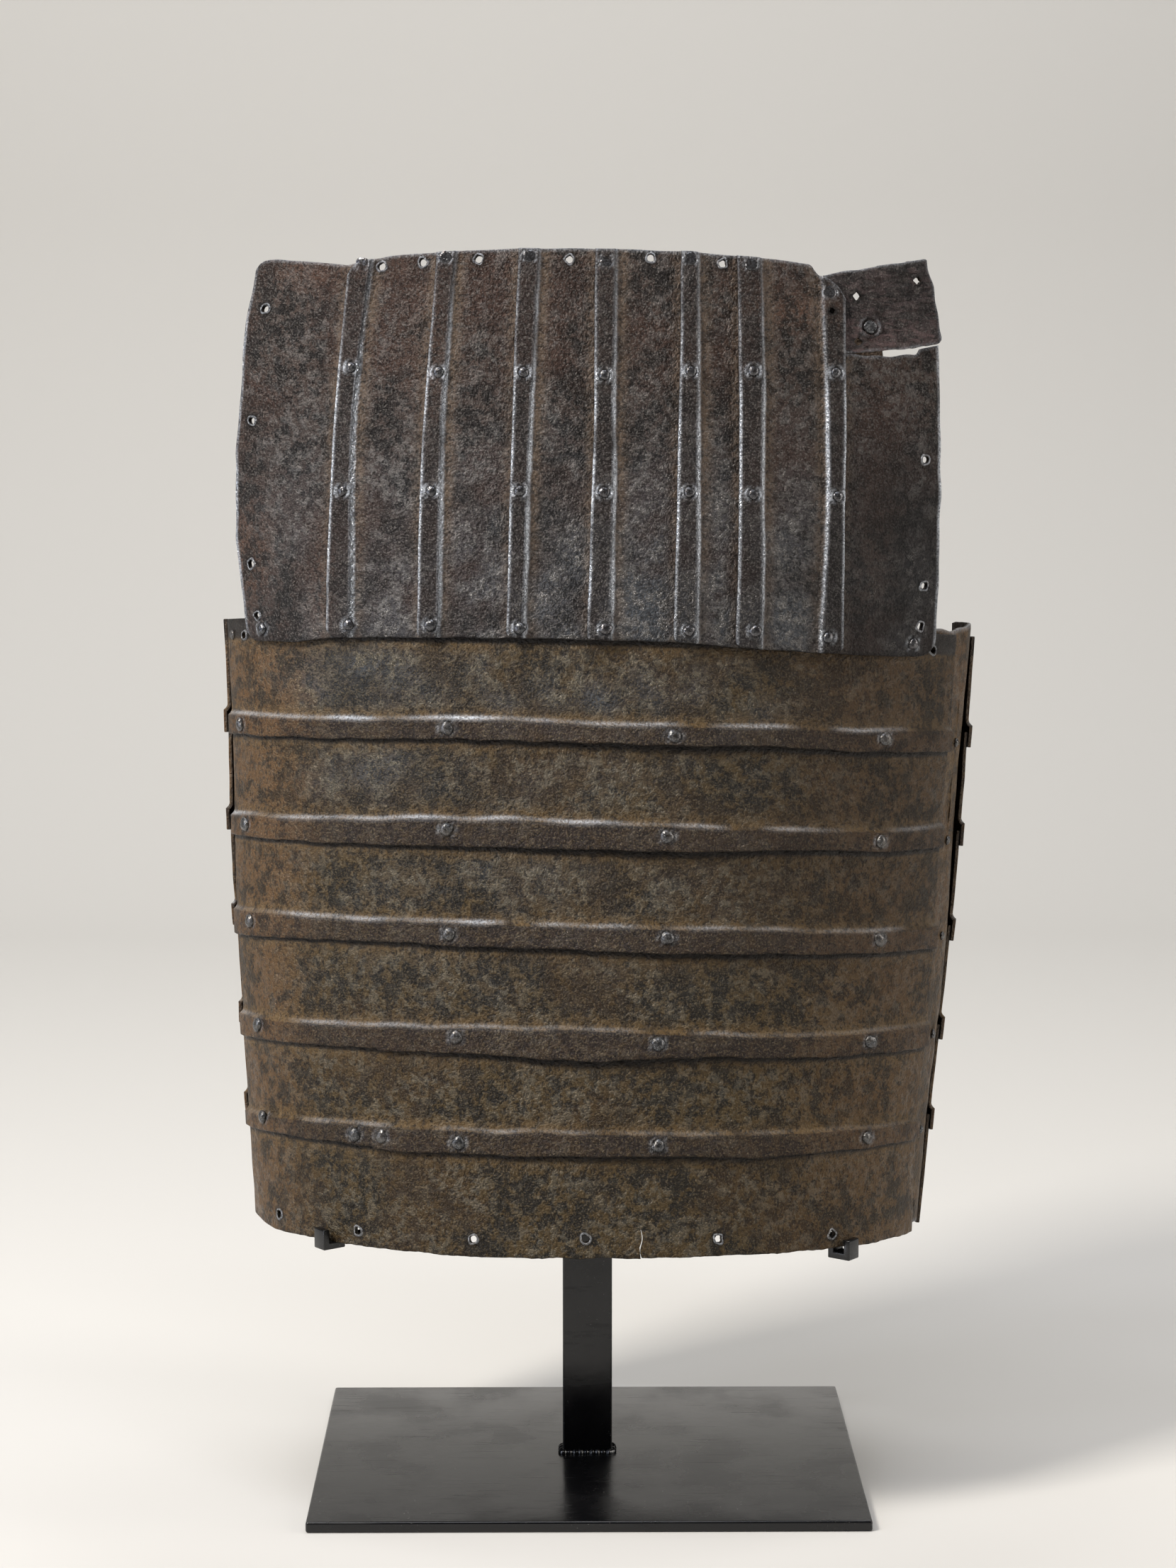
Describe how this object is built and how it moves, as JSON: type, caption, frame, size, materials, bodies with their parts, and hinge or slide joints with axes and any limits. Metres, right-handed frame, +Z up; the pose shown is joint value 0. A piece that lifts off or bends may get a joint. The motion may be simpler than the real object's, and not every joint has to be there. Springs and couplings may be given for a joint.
{
  "type": "riveted iron cuirass on a display stand",
  "caption": "Hollow cuirass of riveted iron lames, open at neck, armholes and hem, hooked by its hem on a low black display stand.",
  "frame": {"origin": "centre of the stand's base plate, at its underside", "axes": "+Z up, -Y towards the front of the cuirass, +X towards the right of someone who looks at its front"},
  "size_m": [0.3447, 0.2321, 0.5606],
  "materials": {
    "chest_iron": "old forged sheet iron, dark grey-brown patina, pitted, worn bright on the ridges",
    "waist_iron": "old forged sheet iron, brown rust patina, pitted",
    "patch_iron": "rough scaled sheet iron, nearly black, with dull rust",
    "stand_paint": "gloss black paint on steel, fine scratches and dust"
  },
  "bodies": {
    "root": {"waist_lame_1": "waist_iron", "waist_lame_2": "waist_iron", "waist_lame_3": "waist_iron", "waist_lame_4": "waist_iron", "waist_lame_5": "waist_iron", "waist_lame_6": "waist_iron", "chest_lame_1": "chest_iron", "chest_lame_2": "chest_iron", "chest_lame_3": "chest_iron", "chest_lame_4": "chest_iron", "chest_lame_5": "chest_iron", "chest_lame_6": "chest_iron", "chest_lame_7": "chest_iron", "chest_lame_8": "chest_iron", "repair_patch": "patch_iron", "side_strip_left": "waist_iron", "side_strip_right": "waist_iron", "back_lame_1": "waist_iron", "back_lame_2": "waist_iron", "back_lame_3": "waist_iron", "back_lame_4": "waist_iron", "back_lame_5": "waist_iron", "back_lame_6": "waist_iron", "upper_back_plate": "chest_iron", "stand_base": "stand_paint", "stand_post": "stand_paint", "hook_arm_front_left": "stand_paint", "hook_arm_front_right": "stand_paint", "hook_arm_back": "stand_paint"}
  },
  "joints": []
}
